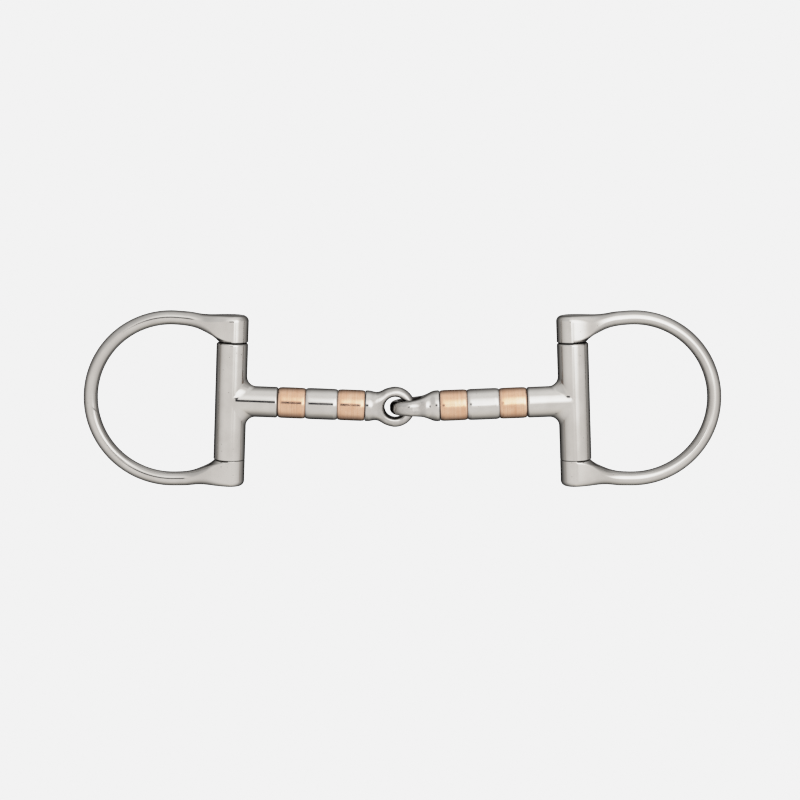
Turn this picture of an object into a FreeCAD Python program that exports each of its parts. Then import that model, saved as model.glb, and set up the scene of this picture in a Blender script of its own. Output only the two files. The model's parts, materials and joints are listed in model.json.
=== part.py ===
import FreeCAD, Part
import math
import os
import Sketcher
from FreeCAD import Placement, Rotation, Vector

# Single-jointed dee-ring snaffle bit with three rollers on each arm.
# Frame: origin midway between the two hinge barrels, +X along the mouthpiece,
# +Y away from the front, +Z up along the barrels. Millimetres.
# Every piece is drawn in the frame of its own arm: the hinge barrel stands on
# the local z axis, the arm runs out along local +x to the centre joint, and
# the dee lies on the local -x side. The two arms are then set in place, each
# dropping a little towards the centre joint.

SIZES = [
    # whole bit
    ("mouth_width", 127.0),        # between the inner faces of the barrels
    ("arm_drop", 2.2),             # slope of each arm in degrees
    ("turning_gap", 0.1),          # between a pin or spindle and what turns on it
    # hinge barrel and stem
    ("barrel_radius", 6.4),
    ("barrel_above", 23.85),       # barrel top above the arm axis
    ("barrel_below", 24.05),       # barrel bottom below the arm axis
    ("barrel_edge", 0.3),
    ("stem_radius", 6.3),
    ("stem_length", 19.3),         # from the barrel axis
    ("stem_edge", 1.0),
    ("tee_fillet", 3.8),
    ("stem_socket", 9.3),
    # dee ring
    ("knuckle_face", 24.15),       # inner face of each knuckle from the arm axis
    ("knuckle_height", 10.55),
    ("knuckle_edge", 1.8),
    ("loop_radius", 33.1),         # to the middle of the wire
    ("loop_offset", 23.9),         # loop centre from the barrel axis
    ("wire_radius", 2.9),
    # hinge pin
    ("pin_radius", 2.5),
    ("rivet_radius", 3.2),
    ("rivet_depth", 0.8),
    # spindle
    ("spindle_radius", 3.25),
    ("spindle_chamfer", 0.3),
    ("eye_socket", 5.0),
    # rollers: middle and end are the outside radii of the crowned sleeve
    ("end_gap", 0.25),
    ("mid_gap", 0.2),
    ("copper_length", 10.85),
    ("copper_middle", 6.33),
    ("copper_end", 6.12),
    ("steel_length", 12.85),
    ("steel_middle", 6.4),
    ("steel_end", 6.22),
    ("roller_edge", 0.4),
    # eye end
    ("eye_reach", 12.17),          # shoulder face to the middle of the eye
    ("eye_radius", 8.2),
    ("eye_hole", 4.27),            # radius
    ("eye_thickness", 5.8),
]

# Sections of the neck that joins the wire loop to each knuckle, from the loop
# inwards: key, distance from the barrel axis, height of the middle, height,
# depth, and how square the corners are (2 is an ellipse).
NECK = [
    ("b", 20.2, 32.96, 5.84, 5.85, 2.0),
    ("c", 16.9, 32.67, 6.02, 6.10, 2.05),
    ("d", 13.7, 32.00, 6.40, 6.80, 2.15),
    ("e", 11.0, 31.27, 7.02, 7.80, 2.3),
    ("f", 8.4, 30.47, 8.10, 9.20, 2.6),
    ("g", 6.0, 29.63, 9.85, 10.50, 3.0),
    ("k", 4.0, 29.40, 10.35, 11.20, 3.4),
    ("n", 2.6, 29.40, 10.35, 11.50, 3.5),
]
NECK_COLUMNS = ("out", "mid", "high", "deep", "square")

# Sections of the shank of the eye end: key, distance from the shoulder face,
# width in the plane of the eye, and thickness across it.
SHANK = [
    ("a", 0.0, 11.31, 11.29),
    ("b", 0.25, 12.21, 12.19),
    ("c", 0.85, 12.79, 12.77),
    ("d", 2.1, 12.60, 12.50),
    ("e", 3.8, 11.80, 11.30),
    ("f", 5.4, 12.10, 9.70),
    ("g", 6.9, 13.40, 8.30),
    ("k", 8.1, 14.30, 6.90),
    ("n", 9.0, 14.90, 5.20),
]
SHANK_COLUMNS = ("out", "wide", "thick")

RING_POINTS = 24        # points around each section of the dee
LOOP_STEPS = 18         # steps along the half circle of wire
EYE_AXIS_HALF = 4.0     # half length of the line the eye is turned about
MATCH = 1e-4            # how closely an edge must match to be picked
LEAST_CUT = 0.5         # a cut must take away at least this volume

for prefix, columns, table in (("neck", NECK_COLUMNS, NECK), ("shank", SHANK_COLUMNS, SHANK)):
    for key, *values in table:
        SIZES += [("%s_%s_%s" % (prefix, column, key), value)
                  for column, value in zip(columns, values)]

doc = FreeCAD.newDocument("dee_snaffle")
sheet = doc.addObject("Spreadsheet::Sheet", "dims")
for row, (alias, value) in enumerate(SIZES, start=1):
    sheet.set("A%d" % row, alias)
    sheet.set("B%d" % row, str(value))
    sheet.setAlias("B%d" % row, alias)
doc.recompute()


# ------------------------------------------------------------- driven sizes
class Size:
    """A length: the spreadsheet expression that drives it, and its value."""

    def __init__(self, text, value):
        self.text = text
        self.value = value

    def __add__(self, other):
        return Size("(%s + %s)" % (self.text, other.text), self.value + other.value)

    def __sub__(self, other):
        return Size("(%s - %s)" % (self.text, other.text), self.value - other.value)

    def __mul__(self, other):
        other = as_size(other)
        return Size("(%s * %s)" % (self.text, other.text), self.value * other.value)

    def __truediv__(self, other):
        other = as_size(other)
        return Size("(%s / %s)" % (self.text, other.text), self.value / other.value)

    def __neg__(self):
        return Size("(0 - %s)" % self.text, -self.value)


def as_size(number):
    return number if isinstance(number, Size) else Size(repr(float(number)), float(number))


def dim(alias):
    return Size("dims." + alias, float(sheet.get(alias)))


ZERO = as_size(0)


def drive(feature, name, length):
    """Sets a property of a feature and binds it to the sheet."""
    setattr(feature, name, length.value)
    feature.setExpression(name, length.text)


def constrain(sketch, length, *parts):
    """Adds a dimension to a sketch and binds it to the sheet."""
    index = sketch.addConstraint(Sketcher.Constraint(*parts, length.value))
    sketch.setExpression("Constraints[%d]" % index, length.text)


# ----------------------------------------------------------------- sketches
def new_sketch(body, name, role, along=None):
    """A sketch on one of the body's origin planes, moved along its normal."""
    sketch = body.newObject("Sketcher::SketchObject", name)
    plane = next(item for item in body.Origin.OriginFeatures if item.Role == role)
    sketch.AttachmentSupport = [(plane, "")]
    sketch.MapMode = "FlatFace"
    if along is not None:
        sketch.AttachmentOffset = Placement(Vector(0, 0, along.value), Rotation())
        sketch.setExpression("AttachmentOffset.Base.z", along.text)
    return sketch


def circle(body, name, role, radius, along=None):
    """A circle centred on the sketch origin."""
    sketch = new_sketch(body, name, role, along)
    sketch.addGeometry(Part.Circle(Vector(0, 0, 0), Vector(0, 0, 1), radius.value), False)
    sketch.addConstraint(Sketcher.Constraint("Coincident", 0, 3, -1, 1))
    constrain(sketch, radius, "Radius", 0)
    return sketch


def upright_ellipse(body, name, role, along, wide, thick):
    """An ellipse centred on the sketch origin, its longer axis, wide, upright."""
    sketch = new_sketch(body, name, role, along)
    tip = Vector(0, wide.value / 2, 0)
    side = Vector(-thick.value / 2, 0, 0)
    sketch.addGeometry(Part.Ellipse(tip, side, Vector(0, 0, 0)), False)
    sketch.exposeInternalGeometry(0)
    sketch.addConstraint(Sketcher.Constraint("Coincident", 0, 3, -1, 1))
    sketch.addConstraint(Sketcher.Constraint("Vertical", 1))
    constrain(sketch, wide, "Distance", 1)
    constrain(sketch, thick, "Distance", 2)
    return sketch


def arc_between(start, stop, radius, side):
    """The shorter arc from start to stop, bulging to the left (1) or right (-1)
    of its path. Arcs run anticlockwise, so a left one is stored end to start."""
    chord = stop - start
    left = Vector(-chord.y, chord.x, 0)
    left.normalize()
    depth = math.sqrt(max(radius ** 2 - (chord.Length / 2) ** 2, 0.0))
    centre = (start + stop) * 0.5 - left * (depth * side)
    first, last = (stop, start) if side > 0 else (start, stop)
    first_angle = math.atan2(first.y - centre.y, first.x - centre.x)
    last_angle = math.atan2(last.y - centre.y, last.x - centre.x)
    if last_angle < first_angle:
        last_angle += 2 * math.pi
    ring = Part.Circle(centre, Vector(0, 0, 1), radius)
    return Part.ArcOfCircle(ring, first_angle, last_angle)


def outline(sketch, points, arcs=None):
    """A closed outline through points. Its sides are straight, except that
    arcs gives the radius of the side that starts at a point, and the side of
    its path it bulges to: 1 is left, -1 is right."""
    arcs = arcs or {}
    count = len(points)
    base = sketch.GeometryCount
    places = [Vector(x.value, y.value, 0) for x, y in points]
    for i in range(count):
        start, stop = places[i], places[(i + 1) % count]
        if i in arcs:
            radius, side = arcs[i]
            sketch.addGeometry(arc_between(start, stop, radius.value, side), False)
        else:
            sketch.addGeometry(Part.LineSegment(start, stop), False)

    def end(i, which):
        """Vertex number of the start (1) or end (2) of side i of the path."""
        return 3 - which if i in arcs and arcs[i][1] > 0 else which

    for i in range(count):
        j = (i + 1) % count
        sketch.addConstraint(
            Sketcher.Constraint("Coincident", base + i, end(i, 2), base + j, end(j, 1)))
    for i, (x, y) in enumerate(points):
        vertex = end(i, 1)
        for kind, length, zero_axis in (("DistanceX", x, -2), ("DistanceY", y, -1)):
            if length is ZERO:
                sketch.addConstraint(
                    Sketcher.Constraint("PointOnObject", base + i, vertex, zero_axis))
            else:
                constrain(sketch, length, kind, -1, 1, base + i, vertex)
    for i, (radius, side) in arcs.items():
        constrain(sketch, radius, "Radius", base + i)


# ----------------------------------------------------------------- features
def pad(body, name, sketch, length):
    feature = body.newObject("PartDesign::Pad", name)
    feature.Profile = sketch
    drive(feature, "Length", length)
    return feature


def turn(body, name, sketch, axis="V_Axis", kind="PartDesign::Revolution"):
    feature = body.newObject(kind, name)
    feature.Profile = sketch
    feature.ReferenceAxis = (sketch, [axis])
    feature.Angle = 360.0
    return feature


def must_cut(feature, base):
    """Makes sure that a cut takes something away from base."""
    doc.recompute()
    if not feature.Shape.Volume < base.Shape.Volume - LEAST_CUT:
        raise ValueError(feature.Name + " cuts nothing")


def pocket(body, name, base, sketch, depth=None, along_normal=False):
    """A pocket cut against the sketch normal, or along it. With no depth it
    runs right through both ways."""
    feature = body.newObject("PartDesign::Pocket", name)
    feature.Profile = sketch
    if depth is None:
        feature.Type = "ThroughAll"
        feature.Midplane = True
    else:
        drive(feature, "Length", depth)
        feature.Reversed = along_normal
    must_cut(feature, base)
    return feature


def round_edges(body, name, base, radius, wanted):
    """Fillets the edges of base that wanted(edge) picks."""
    doc.recompute()
    names = ["Edge%d" % number
             for number, edge in enumerate(base.Shape.Edges, start=1) if wanted(edge)]
    if not names:
        raise ValueError("no edges for " + name)
    feature = body.newObject("PartDesign::Fillet", name)
    feature.Base = (base, names)
    drive(feature, "Radius", radius)
    doc.recompute()
    return feature


def round_at(radius, axis, *positions):
    """Picks circular edges of one radius, centred at given positions on an axis."""
    def wanted(edge):
        curve = edge.Curve
        if curve.TypeId != "Part::GeomCircle" or abs(curve.Radius - radius.value) >= MATCH:
            return False
        along = getattr(curve.Center, axis)
        return any(abs(along - position.value) < MATCH for position in positions)
    return wanted


# --------------------------------------------------------------- placements
half_span = (dim("mouth_width") / 2 + dim("barrel_radius")).value
drop = dim("arm_drop").value
Y_AXIS = Vector(0, 1, 0)
half_turn = Rotation(Vector(0, 0, 1), 180)
SIDES = {
    "left": Placement(Vector(-half_span, 0, 0), Rotation(Y_AXIS, drop)),
    "right": Placement(Vector(half_span, 0, 0), Rotation(Y_AXIS, -drop).multiply(half_turn)),
}
# The left eye shows its hole to the front; the right eye is a quarter turn on.
EYE_TURN = {"left": 0.0, "right": 90.0}

# Each body with its final placement, set once all are built.
pieces = []


def new_body(label, side, along=ZERO, spin=0.0):
    """A body set along the arm and spun about it, in degrees."""
    body = doc.addObject("PartDesign::Body", label)
    body.Label = label
    local = Placement(Vector(along.value, 0, 0), Rotation(Vector(1, 0, 0), spin))
    pieces.append((body, SIDES[side].multiply(local)))
    return body


# Stations along the arm, from the barrel axis.
spindle_start = dim("stem_length") - dim("stem_socket")
copper_start = dim("stem_length") + dim("end_gap")
steel_start = copper_start + dim("copper_length") + dim("mid_gap")
inner_start = steel_start + dim("steel_length") + dim("mid_gap")
eye_start = inner_start + dim("copper_length") + dim("end_gap")

# Outer end of each knuckle, from the arm axis.
knuckle_end = dim("knuckle_face") + dim("knuckle_height")


# --------------------------------------------------------------- barrel tee
def make_tee(side):
    """The hinge barrel with the stem that carries the arm."""
    body = new_body(side + "_barrel_tee", side)
    barrel_radius, stem_radius = dim("barrel_radius"), dim("stem_radius")
    stem_length = dim("stem_length")
    top, bottom = dim("barrel_above"), -dim("barrel_below")
    barrel_ring = circle(body, side + "_barrel_ring", "XY_Plane", barrel_radius, bottom)
    pad(body, side + "_barrel", barrel_ring, dim("barrel_above") + dim("barrel_below"))
    stem_ring = circle(body, side + "_stem_ring", "YZ_Plane", stem_radius)
    stem = pad(body, side + "_stem", stem_ring, stem_length)

    def junction(edge):
        """Picks the edges where the stem leaves the barrel: they lie close to
        the barrel, no higher or lower than the stem, and aren't level."""
        box = edge.BoundBox
        reach = stem_radius.value + 0.1
        return (box.XMax < barrel_radius.value + 0.5 and box.XMin > -1e-3
                and box.ZMax < reach and box.ZMin > -reach and box.ZLength > 1.0)

    blend = round_edges(body, side + "_tee_blend", stem, dim("tee_fillet"), junction)
    nose = round_edges(body, side + "_stem_rim", blend, dim("stem_edge"),
                       round_at(stem_radius, "x", stem_length))
    ends = round_edges(body, side + "_barrel_rims", nose, dim("barrel_edge"),
                       round_at(barrel_radius, "z", top, bottom))
    bore_ring = circle(body, side + "_bore_ring", "XY_Plane",
                       dim("pin_radius") + dim("turning_gap"))
    bore = pocket(body, side + "_pivot_bore", ends, bore_ring)
    socket_ring = circle(body, side + "_socket_ring", "YZ_Plane", dim("spindle_radius"),
                         stem_length)
    pocket(body, side + "_stem_socket", bore, socket_ring, dim("stem_socket"))


# ----------------------------------------------------------------- dee ring
def superellipse(half_a, half_b, power):
    """Points of a rounded section; the first is at (half_a, 0)."""
    points = []
    for k in range(RING_POINTS):
        angle = 2.0 * math.pi * k / RING_POINTS
        cosine, sine = math.cos(angle), math.sin(angle)
        points.append((half_a * math.copysign(abs(cosine) ** (2.0 / power), cosine),
                       half_b * math.copysign(abs(sine) ** (2.0 / power), sine)))
    return points


def neck_row(key, sign):
    """A section of the upper (sign 1) or lower (sign -1) neck."""
    out, mid, high, deep, square = (dim("neck_%s_%s" % (column, key)).value
                                    for column in NECK_COLUMNS)
    return [Vector(-out, -across, sign * (mid + outward))
            for outward, across in superellipse(high / 2, deep / 2, square)]


def loop_row(step):
    """A section of the wire, counted from the lower end of the half circle."""
    radius, offset, wire = (dim(name).value
                            for name in ("loop_radius", "loop_offset", "wire_radius"))
    angle = math.radians(-90.0 + 180.0 * step / LOOP_STEPS)
    direction = Vector(-math.cos(angle), 0, math.sin(angle))
    centre = Vector(-offset, 0, 0)
    return [centre + direction * (radius + outward) + Vector(0, -across, 0)
            for outward, across in superellipse(wire, wire, 2.0)]


def make_dee_skin(side):
    """The wire loop and the two necks that swell into the knuckles, in one
    smooth loft. Every section starts on the outside of the dee."""
    rows = [neck_row(key, -1) for key, *_ in reversed(NECK)]
    rows += [loop_row(step) for step in range(LOOP_STEPS + 1)]
    rows += [neck_row(key, 1) for key, *_ in NECK]
    wires = []
    for ring in rows:
        curve = Part.BSplineCurve()
        curve.interpolate(Points=ring, PeriodicFlag=True)
        wires.append(Part.Wire([curve.toShape()]))
    solid, ruled, closed = True, False, False
    skin = doc.addObject("Part::Feature", side + "_dee_skin")
    skin.Shape = Part.makeLoft(wires, solid, ruled, closed)
    return skin


def make_dee(side):
    """The dee with its two knuckles, bored for the pin."""
    skin = make_dee_skin(side)
    body = new_body(side + "_dee_ring", side)
    body.BaseFeature = skin
    doc.recompute()
    radius, edge, face = dim("barrel_radius"), dim("knuckle_edge"), dim("knuckle_face")
    shoulder = knuckle_end - edge
    sketch = new_sketch(body, side + "_knuckle_profile", "XZ_Plane")
    outline(sketch, [(ZERO, face), (radius, face), (radius, shoulder),
                     (radius - edge, knuckle_end), (ZERO, knuckle_end)], {2: (edge, -1)})
    outline(sketch, [(ZERO, -face), (radius, -face), (radius, -shoulder),
                     (radius - edge, -knuckle_end), (ZERO, -knuckle_end)], {2: (edge, 1)})
    knuckles = turn(body, side + "_knuckles", sketch)
    profile = pin_profile(body, side + "_pin_hole_profile")
    hole = turn(body, side + "_pin_hole", profile, kind="PartDesign::Groove")
    must_cut(hole, knuckles)


# ---------------------------------------------------------------- hinge pin
def pin_profile(body, name):
    """Half section of the pin, flared at both ends; its hole has the same one."""
    sketch = new_sketch(body, name, "XZ_Plane")
    radius, head = dim("pin_radius"), dim("rivet_radius")
    neck = knuckle_end - dim("rivet_depth")
    outline(sketch, [(ZERO, -knuckle_end), (head, -knuckle_end), (radius, -neck),
                     (radius, neck), (head, knuckle_end), (ZERO, knuckle_end)])
    return sketch


def make_pin(side):
    body = new_body(side + "_hinge_pin", side)
    turn(body, side + "_pin", pin_profile(body, side + "_pin_profile"))


# ------------------------------------------------------------------ rollers
def make_roller(side, name, metal, start):
    """A short crowned sleeve with rounded rims."""
    label = side + "_" + name
    body = new_body(label, side, start)
    length, middle, end = dim(metal + "_length"), dim(metal + "_middle"), dim(metal + "_end")
    bore = dim("spindle_radius") + dim("turning_gap")
    rise = middle - end
    crown = (length * length / 4 + rise * rise) / (rise * 2)
    sketch = new_sketch(body, label + "_profile", "XZ_Plane")
    outline(sketch, [(ZERO, bore), (ZERO, end), (length, end), (length, bore)],
            {1: (crown, 1)})
    sleeve = turn(body, label + "_sleeve", sketch, axis="H_Axis")
    round_edges(body, label + "_rims", sleeve, dim("roller_edge"),
                round_at(end, "x", ZERO, length))


# ------------------------------------------------------------------ spindle
def make_spindle(side):
    """The rod through the rollers, from the stem socket to the eye socket."""
    body = new_body(side + "_spindle", side, spindle_start)
    length = eye_start + dim("eye_socket") - spindle_start
    radius, chamfer = dim("spindle_radius"), dim("spindle_chamfer")
    sketch = new_sketch(body, side + "_spindle_profile", "XZ_Plane")
    outline(sketch, [(ZERO, ZERO), (ZERO, radius - chamfer), (chamfer, radius),
                     (length - chamfer, radius), (length, radius - chamfer), (length, ZERO)])
    turn(body, side + "_rod", sketch, axis="H_Axis")


# ------------------------------------------------------------------ eye end
def eye_section(body, name):
    """Section of the eye: a slot shape, its round ends on the faces of the eye.
    Its construction line is the axis of the eye."""
    half = (dim("eye_radius") - dim("eye_hole")) / 2
    flat = dim("eye_thickness") / 2 - half
    reach = dim("eye_reach")
    across = reach + (dim("eye_hole") + half)
    inner = (reach + dim("eye_hole")).value
    outer = (reach + dim("eye_radius")).value
    sketch = new_sketch(body, name, "XY_Plane")
    for centre_y, start in ((flat.value, 0.0), (-flat.value, math.pi)):
        ring = Part.Circle(Vector(across.value, centre_y, 0), Vector(0, 0, 1), half.value)
        sketch.addGeometry(Part.ArcOfCircle(ring, start, start + math.pi), False)
    for x, start_y in ((inner, flat.value), (outer, -flat.value)):
        line = Part.LineSegment(Vector(x, start_y, 0), Vector(x, -start_y, 0))
        sketch.addGeometry(line, False)
    for first, last in ((0, 2), (2, 1), (1, 3), (3, 0)):
        sketch.addConstraint(Sketcher.Constraint("Tangent", first, 2, last, 1))
    for arc, height in ((0, flat), (1, -flat)):
        constrain(sketch, across, "DistanceX", -1, 1, arc, 3)
        constrain(sketch, height, "DistanceY", -1, 1, arc, 3)
    constrain(sketch, half, "Radius", 0)
    sketch.addConstraint(Sketcher.Constraint("Equal", 0, 1))
    axis_line = Part.LineSegment(Vector(reach.value, -EYE_AXIS_HALF, 0),
                                 Vector(reach.value, EYE_AXIS_HALF, 0))
    axis = sketch.addGeometry(axis_line, True)
    sketch.addConstraint(Sketcher.Constraint("Vertical", axis))
    constrain(sketch, reach, "DistanceX", -1, 1, axis, 1)
    for vertex, height in ((1, -EYE_AXIS_HALF), (2, EYE_AXIS_HALF)):
        sketch.addConstraint(Sketcher.Constraint("DistanceY", -1, 1, axis, vertex, height))
    return sketch


def eye_hole_ring(body, name):
    reach, radius = dim("eye_reach"), dim("eye_hole")
    sketch = new_sketch(body, name, "XZ_Plane")
    ring = Part.Circle(Vector(reach.value, 0, 0), Vector(0, 0, 1), radius.value)
    sketch.addGeometry(ring, False)
    sketch.addConstraint(Sketcher.Constraint("PointOnObject", 0, 3, -1))
    constrain(sketch, reach, "DistanceX", -1, 1, 0, 3)
    constrain(sketch, radius, "Radius", 0)
    return sketch


def make_eye(side):
    """The shoulder and shank taper from round to flat and end in a round eye.
    Drawn with the hole of the eye along local y."""
    body = new_body(side + "_eye_end", side, eye_start, EYE_TURN[side])
    sections = [upright_ellipse(body, side + "_shank_" + key, "YZ_Plane",
                                dim("shank_out_" + key), dim("shank_wide_" + key),
                                dim("shank_thick_" + key))
                for key, *_ in SHANK]
    shank = body.newObject("PartDesign::AdditiveLoft", side + "_shank")
    shank.Profile = sections[0]
    shank.Sections = sections[1:]
    shank.Ruled = False
    doc.recompute()
    ring = turn(body, side + "_eye_ring", eye_section(body, side + "_eye_section"),
                axis="Axis0")
    # the shank reaches into the eye, so the hole is cleared right through
    hole = pocket(body, side + "_eye_hole", ring, eye_hole_ring(body, side + "_eye_hole_ring"))
    socket_ring = circle(body, side + "_eye_socket_ring", "YZ_Plane", dim("spindle_radius"))
    pocket(body, side + "_eye_socket", hole, socket_ring, dim("eye_socket"),
           along_normal=True)


# -------------------------------------------------------- build and export
for side in SIDES:
    make_tee(side)
    make_dee(side)
    make_pin(side)
    make_roller(side, "roller_outer_copper", "copper", copper_start)
    make_roller(side, "roller_middle_steel", "steel", steel_start)
    make_roller(side, "roller_inner_copper", "copper", inner_start)
    make_spindle(side)
    make_eye(side)

for body, place in pieces:
    body.Placement = place
doc.recompute()

for obj in doc.Objects:
    if "Invalid" in obj.State or "Error" in obj.State:
        raise ValueError("%s did not compute: %s" % (obj.Label, obj.State))
for body, place in pieces:
    shape = body.Shape
    if shape.isNull() or not shape.isValid() or len(shape.Solids) != 1:
        raise ValueError("%s is not one valid solid" % body.Label)

os.makedirs("parts", exist_ok=True)
for body, place in pieces:
    body.Shape.exportStep(os.path.join("parts", body.Label + ".step"))
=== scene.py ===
"""A loose-ring snaffle bit with dee-shaped rings: two mirrored arms linked by their eyes,
each with a dee ring, a hinge barrel and three rollers in steel and copper.

Each arm is drawn in its own frame, in millimetres: the hinge barrel stands on the
local z axis and the arm runs out along local x, towards the other arm.
"""
import bpy
import json
import math
import numpy as np
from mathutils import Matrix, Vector


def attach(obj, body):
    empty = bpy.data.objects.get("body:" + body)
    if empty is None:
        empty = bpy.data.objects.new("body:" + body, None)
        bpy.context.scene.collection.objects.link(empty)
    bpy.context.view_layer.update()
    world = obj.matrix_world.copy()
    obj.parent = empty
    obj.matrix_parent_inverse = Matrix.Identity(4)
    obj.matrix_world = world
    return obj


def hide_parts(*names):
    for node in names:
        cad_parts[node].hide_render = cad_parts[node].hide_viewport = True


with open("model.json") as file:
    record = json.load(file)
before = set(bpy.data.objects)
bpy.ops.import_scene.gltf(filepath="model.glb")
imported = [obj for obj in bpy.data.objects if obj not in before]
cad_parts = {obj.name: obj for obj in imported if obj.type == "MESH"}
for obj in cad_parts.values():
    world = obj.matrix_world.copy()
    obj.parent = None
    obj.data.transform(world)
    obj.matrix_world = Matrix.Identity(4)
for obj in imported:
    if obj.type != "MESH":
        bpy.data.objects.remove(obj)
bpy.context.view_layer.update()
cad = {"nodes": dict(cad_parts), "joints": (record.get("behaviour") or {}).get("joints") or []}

# Dee ring: round wire that swells into a knuckle at each end.
KNUCKLE = 6.4           # radius of a knuckle
WIRE = 2.9              # radius of the wire
LOOP = 33.1             # radius of the loop's centre line
REACH = 23.9            # from the hinge axis back to the loop's centre
FACE = 24.15            # height of a knuckle's inner face
TOP = 35.15             # height of a knuckle's outer end
DOME_DROP = 0.42        # fall of the knuckle's end from middle to rim
NECK_END = 5.7          # the underside of the neck meets the face here
PIN = 2.5               # radius of the hinge pin

# Hinge barrel and the stem that leaves it along x.
BARREL = KNUCKLE
BARREL_BORE = PIN + 0.1
ABOVE, BELOW = 23.85, 24.05     # how far the barrel reaches up and down
STEM, STEM_END = 6.3, 19.3      # radius, and x of its end
SOCKET = 3.25                   # radius of the holes on the arm's axis
STEM_SOCKET_START = 10.0

# Eye end, drawn from its shoulder, with its hole along y.
EYE_X, EYE_HOLE, EYE_RADIUS = 12.17, 4.27, 8.2
EYE_SOCKET_END = 5.0

# Rollers.
COPPER_RADIUS, STEEL_RADIUS = 6.33, 6.38    # at mid length
ROLLER_DROP, END_ZONE = 0.26, 2.2           # ease at the ends, and its length
ROLLER_CROWN = 0.03
ROLLER_BORE, RIM = 3.35, 0.34               # bore radius, rounding of the rims
SIDE_GAP, ROLLER_GAP = 0.18, 0.07           # added length at the row's ends, and inside it

# Grid pitches are multiplied by this.
PITCH = 0.8


# --- Arm frames ---------------------------------------------------------------
joints = {joint["name"]: joint for joint in cad["joints"]}


def arm_frame(side):
    swing = joints[side + "_cheek_swing"]
    z = Vector(swing["axis"]).normalized()
    if z.z < 0:
        z.negate()
    x = Vector(joints[side + "_middle_roller_spin"]["axis"]).normalized()
    place = np.eye(4)
    place[:3, 0], place[:3, 1], place[:3, 2] = x, z.cross(x), z
    place[:3, 3] = Vector(swing["pos_m"]) * 1000.0
    return place


ARM = {side: arm_frame(side) for side in ("left", "right")}


def spun(place, degrees):
    """The frame turned about its own x axis."""
    cos, sin = math.cos(math.radians(degrees)), math.sin(math.radians(degrees))
    turn = np.eye(4)
    turn[1, 1], turn[1, 2], turn[2, 1], turn[2, 2] = cos, -sin, sin, cos
    return place @ turn


def slid(place, distance):
    """The frame moved along its own x axis."""
    place = place.copy()
    place[:3, 3] = place[:3, 3] + place[:3, 0] * distance
    return place


def local_range(node, place):
    """Lowest and highest local x of a CAD node, in mm."""
    mesh = cad["nodes"][node].data
    flat = np.empty(len(mesh.vertices) * 3, np.float32)
    mesh.vertices.foreach_get("co", flat)
    points = flat.reshape(-1, 3).astype(float) * 1000.0
    x = ((points - place[:3, 3]) @ place[:3, :3])[:, 0]
    return x.min(), x.max()


# --- Smooth tables and rounded unions -------------------------------------------
class Curve:
    """A cubic spline through a table, level at its start and, if asked, at its end."""

    def __init__(self, table, level_end=True):
        self.x, self.y = np.array(table, float).T.copy()
        count = len(self.x)
        gap = np.diff(self.x)
        rise = np.diff(self.y) / gap
        matrix = np.zeros((count, count))
        right = np.zeros(count)
        for i in range(1, count - 1):
            matrix[i, i - 1:i + 2] = gap[i - 1], 2 * (gap[i - 1] + gap[i]), gap[i]
            right[i] = 6 * (rise[i] - rise[i - 1])
        matrix[0, 0], matrix[0, 1] = 2 * gap[0], gap[0]
        right[0] = 6 * rise[0]
        if level_end:
            matrix[-1, -1], matrix[-1, -2] = 2 * gap[-1], gap[-1]
            right[-1] = -6 * rise[-1]
        else:
            matrix[-1, -1] = 1
        self.bend = np.linalg.solve(matrix, right)

    def __call__(self, x):
        x = np.clip(x, self.x[0], self.x[-1])
        i = np.clip(np.searchsorted(self.x, x, side="right") - 1, 0, len(self.x) - 2)
        start, end = self.x[i], self.x[i + 1]
        gap = end - start
        a, b = (end - x) / gap, (x - start) / gap
        bend = (a ** 3 - a) * self.bend[i] + (b ** 3 - b) * self.bend[i + 1]
        return a * self.y[i] + b * self.y[i + 1] + bend * gap * gap / 6

    def slope(self, x):
        nudge = 0.01
        return (self(x + nudge) - self(x - nudge)) / (2 * nudge)

    def distance(self, x, y):
        """Roughly how far (x, y) lies above the curve."""
        return (y - self(x)) / np.hypot(1, self.slope(x))


def meet(a, b, radius):
    """Where both solids are, with the edge between them rounded."""
    outside = np.hypot(np.maximum(a + radius, 0), np.maximum(b + radius, 0))
    return np.minimum(np.maximum(a, b), -radius) + outside


def join(a, b, radius):
    """Either solid, with the corner between them filled."""
    inside = np.hypot(np.maximum(radius - a, 0), np.maximum(radius - b, 0))
    return np.maximum(np.minimum(a, b), radius) - inside


def step(lo, hi, x):
    t = np.clip((x - lo) / (hi - lo), 0, 1)
    return t * t * (3 - 2 * t)


# --- Meshing ------------------------------------------------------------------
def grid(lo, hi, pitch, fine=()):
    """Grid lines from lo to hi, closer together round each (centre, reach, pitch)."""
    lines, x = [lo], lo
    while x < hi:
        stride = pitch
        for centre, reach, small in fine:
            away = max(abs(x - centre) - reach, 0.0)
            stride = min(stride, small + away * 0.5)
            if x < centre - reach < x + stride:
                stride = max(centre - reach - x, small)
        x += stride
        lines.append(x)
    return np.array(lines)


def gradient(field, points):
    nudge = 0.004
    slopes = np.empty_like(points)
    for k in range(3):
        shift = np.zeros(3)
        shift[k] = nudge
        slopes[:, k] = (field(*(points + shift).T) - field(*(points - shift).T)) / (2 * nudge)
    return slopes


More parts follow.
